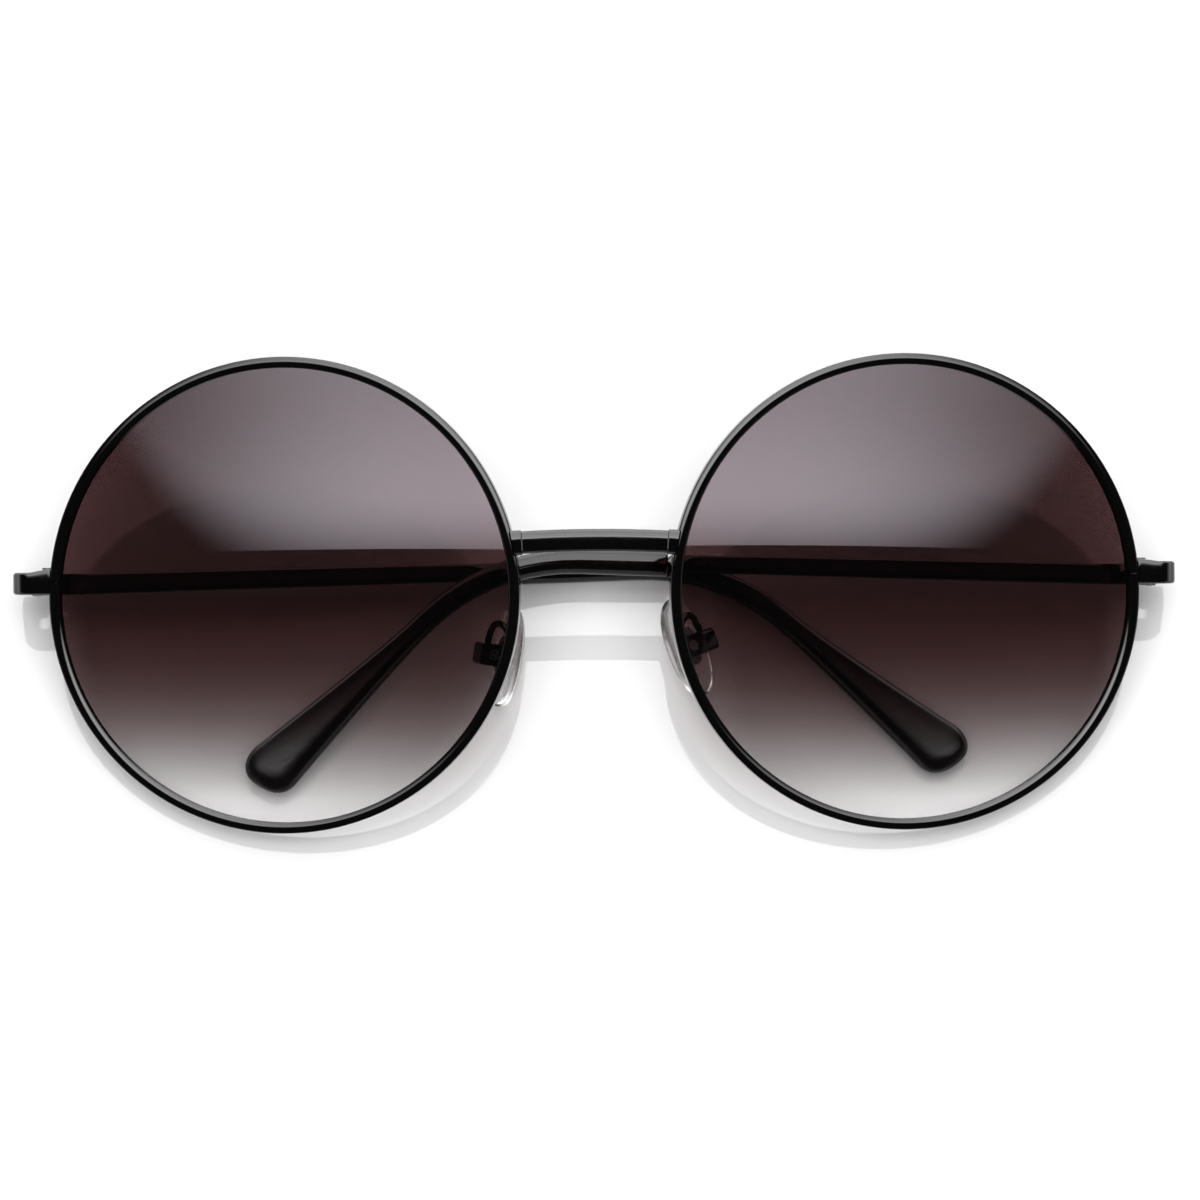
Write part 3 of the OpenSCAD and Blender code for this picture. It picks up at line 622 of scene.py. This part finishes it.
# The round on each kind of node's creases. Nodes of the kinds that aren't here
# are replaced by finer pieces
EDGES = {
    "rim_lock": 0.0001, "rim_lock_screw": 0.00004,
    "hinge_front": 0.0001, "hinge_temple": 0.0001, "hinge_screw": 0.00005,
    "temple": 0.0001, "temple_tip": 0.0002,
    "pad_arm": 0.0, "pad_box": 0.0004, "pad_screw": 0.00004, "pad_core": 0.00008,
    "nose_pad": 0.0,
}


def edge_of(name):
    """The round of the kind whose name fits the node's best."""
    fits = [kind for kind in EDGES if name.startswith(kind)]
    return EDGES[max(fits, key=len)] if fits else None


def finish_piece(made, name, material, node, group=None):
    """Makes an object of a bmesh that rides on the front in a node's place."""
    bmesh.ops.recalc_face_normals(made, faces=made.faces)
    for face in made.faces:
        face.smooth = True
    mesh = bpy.data.meshes.new(name)
    made.to_mesh(mesh)
    made.free()
    mesh.materials.append(material)
    piece = new_object(name, mesh)
    if group:
        soften(piece, group)
    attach(piece, "front")
    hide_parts(node)
    return piece


def bend(centre_x, centre_y, radius, start, stop, steps):
    """Points of a round from one angle to another, in degrees."""
    turns = [math.radians(start + (stop - start) * k / steps) for k in range(steps + 1)]
    return [(centre_x + radius * math.cos(a), centre_y + radius * math.sin(a)) for a in turns]


def join_rings(made, rings):
    """Skins rings of as many points each, and caps the first and the last."""
    for a, b in zip(rings, rings[1:]):
        for k in range(len(a)):
            n = (k + 1) % len(a)
            made.faces.new((a[k], a[n], b[n], b[k]))
    made.faces.new(rings[0])
    made.faces.new(list(reversed(rings[-1])))


def make_rim(side, material, group):
    """A rim's wire: an arched face with rounded edges, its groove and its cut."""
    middle, across, up, out = rim_axes(side)
    outward = -across if side == "left" else across
    inner = RIM_RADIUS - WIRE_WIDE
    arch = WIRE_WIDE / 2 / math.sin(WIRE_FACE_TURN)
    low = WIRE_DEEP / 2 - arch
    turn = math.asin((WIRE_WIDE / 2 - WIRE_ROUND) / (arch - WIRE_ROUND))
    corner = low + (arch - WIRE_ROUND) * math.cos(turn)
    tilt = math.degrees(turn)
    half = bend(RIM_RADIUS - WIRE_ROUND, corner, WIRE_ROUND, 0, 90 - tilt, steps=4)
    half += bend(RIM_RADIUS - WIRE_WIDE / 2, low, arch, 90 - tilt, 90 + tilt, steps=12)[1:-1]
    half += bend(inner + WIRE_ROUND, corner, WIRE_ROUND, 90 + tilt, 180, steps=4)
    half.append((inner, GROOVE_TALL / 2))
    profile = half + [(inner + GROOVE_DEEP, 0)] + [(r, -z) for r, z in reversed(half)]
    cut = math.asin(CUT_HEIGHT[side] / RIM_RADIUS)
    gap = CUT_WIDE / 2 / RIM_RADIUS
    made = bmesh.new()
    rings = []
    for k in range(RIM_SPOKES + 1):
        a = cut + gap + (2 * math.pi - 2 * gap) * k / RIM_SPOKES
        way = outward * math.cos(a) + up * math.sin(a)
        rings.append([made.verts.new(middle + way * r + out * z) for r, z in profile])
    join_rings(made, rings)
    finish_piece(made, "rim_wire_" + side, material, "rim_" + side, group)


def make_endpiece(side, material, group):
    """The endpiece's strip: from its rim outwards, round its corner, and back."""
    sign = -1 if side == "left" else 1
    low, tall, droop = END_HEIGHTS[side]
    corner_x, corner_z = END_X - END_CORNER, END_FRONT - END_CORNER
    # The way from the strip's outer face into it, where it runs outwards or back
    under, sideways = (0, -1), (-1, 0)
    # A part of the section: 1 at the upper edge or -1 at the lower one, how far
    # it is inside that edge, and how deep it is under the strip's outer face
    outer = bend(0, 0, END_ROUND, 0, 90, steps=7)
    inner = bend(0, 0, END_FINE, 90, 180, steps=3)
    section = [(1, END_ROUND - v, END_ROUND - u) for u, v in outer]
    section += [(1, END_FINE - v, END_THICK - END_FINE - u) for u, v in inner]
    section += [(-1, inset, deep) for _, inset, deep in reversed(section)]

    def height(x, part):
        edge, inset, _ = part
        drop = min(max((x - END_RIM_X) / (corner_x - END_RIM_X), 0), 1)
        return low + inset if edge < 0 else low + tall - droop * drop - inset

    def point(x, z, inward, part):
        across = FRONT_ACROSS * sign * (x + inward[0] * part[2])
        out = FRONT_OUT * (z + inward[1] * part[2])
        return FRONT_MIDDLE + across + FRONT_UP * height(x, part) + out

    def start(part):
        return meet_rim(lambda x: point(x, END_FRONT, under, part), END_RIM_X - END_RIM_REACH, corner_x)

    def back_end(part):
        high = height(END_X, part) - CUT_HEIGHT[side] + HINGE_SINK
        return END_BUTT / math.cos(HINGE_LEAN) - HINGE_BACK - high * math.tan(HINGE_LEAN)

    rings = [[start(part) for part in section]]
    for k in range(END_SPANS + 1):
        x = END_RIM_X + (corner_x - END_RIM_X) * k / END_SPANS
        rings.append([point(x, END_FRONT, under, part) for part in section])
    for x, z in bend(0, 0, END_CORNER, 90, 0, steps=15)[1:]:
        inward = (-x / END_CORNER, -z / END_CORNER)
        rings.append([point(corner_x + x, corner_z + z, inward, part) for part in section])
    rings.append([point(END_X, back_end(part), sideways, part) for part in section])
    made = bmesh.new()
    join_rings(made, [[made.verts.new(p) for p in ring] for ring in rings])
    finish_piece(made, "endpiece_strip_" + side, material, "endpiece_" + side, group)


def make_bridge(material, group):
    """The bridge bar: flat on top with rounded edges, and a collar at each rim."""
    radius = (BRIDGE_HALF ** 2 + BRIDGE_ARCH ** 2) / (2 * BRIDGE_ARCH)
    tall, deep = BRIDGE_TALL / 2, BRIDGE_DEEP / 2
    # The section's corners: which side they are on, their round and its steps
    corners = ((1, 1, BRIDGE_ROUND, 9), (-1, 1, BRIDGE_LOW_ROUND, 7),
               (-1, -1, BRIDGE_LOW_ROUND, 7), (1, -1, BRIDGE_ROUND, 9))
    section = []
    for k, (upper, outer, fillet, steps) in enumerate(corners):
        centre = upper * (tall - fillet), outer * (deep - fillet)
        section += bend(*centre, fillet, 90 * k, 90 * (k + 1), steps)
    collar = BRIDGE_HALF - COLLAR_LONG
    plain = collar - COLLAR_RISE
    rise = [(plain, 1), (collar - COLLAR_RISE / 2, (1 + COLLAR_SHARE) / 2), (collar, COLLAR_SHARE)]
    stations = [(-x, share) for x, share in reversed(rise)]
    stations += [(plain * (2 * k / BRIDGE_SPANS - 1), 1) for k in range(1, BRIDGE_SPANS)]
    stations += rise

    def place(x, u, w):
        turn = math.asin(x / radius)
        high = BRIDGE_HEIGHT + BRIDGE_ARCH - radius + (radius + u) * math.cos(turn)
        side = (radius + u) * math.sin(turn)
        return FRONT_MIDDLE + FRONT_ACROSS * side + FRONT_UP * high + FRONT_OUT * (BRIDGE_OUT + w)

    def end(sign):
        ring = []
        for u, w in section:
            wide, thick = u * COLLAR_SHARE, w * COLLAR_SHARE
            ring.append(meet_rim(lambda x: place(sign * x, wide, thick),
                                 BRIDGE_INSIDE * BRIDGE_HALF, BRIDGE_CLEAR * BRIDGE_HALF))
        return ring

    rings = [[place(x, u * share, w * share) for u, w in section] for x, share in stations]
    made = bmesh.new()
    join_rings(made, [[made.verts.new(p) for p in ring] for ring in [end(-1)] + rings + [end(1)]])
    finish_piece(made, "bridge", material, "bridge_bar", group)


def make_lens(side, material):
    """A lens turned from its profile, round the axis of its rim."""
    middle, across, up, out = rim_axes(side)
    centre = LENS_THICK / 2 - math.sqrt(LENS_CURVE ** 2 - LENS_SHOULDER ** 2)
    back_curve = LENS_CURVE - LENS_THICK
    reach = [LENS_SHOULDER * math.sin(math.pi / 2 * k / LENS_RINGS) for k in range(1, LENS_RINGS + 1)]
    front = [(r, centre + math.sqrt(LENS_CURVE ** 2 - r * r)) for r in reach]
    back = [(r, centre + math.sqrt(back_curve ** 2 - r * r)) for r in reversed(reach)]
    edge = [(LENS_SHOULDER, LENS_BEVEL / 2), (LENS_EDGE, 0), (LENS_SHOULDER, -LENS_BEVEL / 2)]
    made = bmesh.new()
    rings = []
    for r, z in front + edge + back:
        ring = []
        for k in range(LENS_SPOKES):
            a = 2 * math.pi * k / LENS_SPOKES
            point = middle + across * r * math.cos(a) + up * r * math.sin(a) + out * z
            ring.append(made.verts.new(point))
        rings.append(ring)
    tops = [made.verts.new(middle + out * (centre + c)) for c in (LENS_CURVE, back_curve)]
    for k in range(LENS_SPOKES):
        n = (k + 1) % LENS_SPOKES
        made.faces.new((tops[0], rings[0][k], rings[0][n]))
        made.faces.new((tops[1], rings[-1][n], rings[-1][k]))
        for a, b in zip(rings, rings[1:]):
            made.faces.new((a[k], b[k], b[n], a[n]))
    lens = finish_piece(made, "lens_glass_" + side, material, "lens_" + side)
    sharp_rings = range(len(front) - 1, len(front) + len(edge) + 1)
    for line in lens.data.edges:
        a, b = (v // LENS_SPOKES for v in line.vertices)
        if a == b and a in sharp_rings:
            line.use_edge_sharp = True


def finish_nodes():
    """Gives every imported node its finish, and makes the finer pieces."""
    slots = {row["node"]: row["material_slot"] for row in frame["record"]["subparts"]}
    made = {
        "frame_enamel": enamel(),
        "tip_plastic": tip_plastic(),
        "screw_steel": steel(),
        "pad_clear": pad_clear(),
    }
    group = soften_group()
    for name, thing in nodes.items():
        if slots[name] == "lens_tint":
            side = name.split("_")[-1]
            material = lens_tint(side)
            make_lens(side, material)
        else:
            material = made[slots[name]]
            edge = edge_of(name)
            if edge is not None:
                soften(thing, group, edge)
        thing.data.materials.clear()
        thing.data.materials.append(material)
    for side in SIDES:
        make_rim(side, made["frame_enamel"], group)
        make_endpiece(side, made["frame_enamel"], group)
    make_bridge(made["frame_enamel"], group)


make_camera()
make_room()
make_floor()
make_softbox()
make_fill()
finish_nodes()
bpy.context.scene.view_settings.view_transform = "Standard"
bpy.context.view_layer.update()
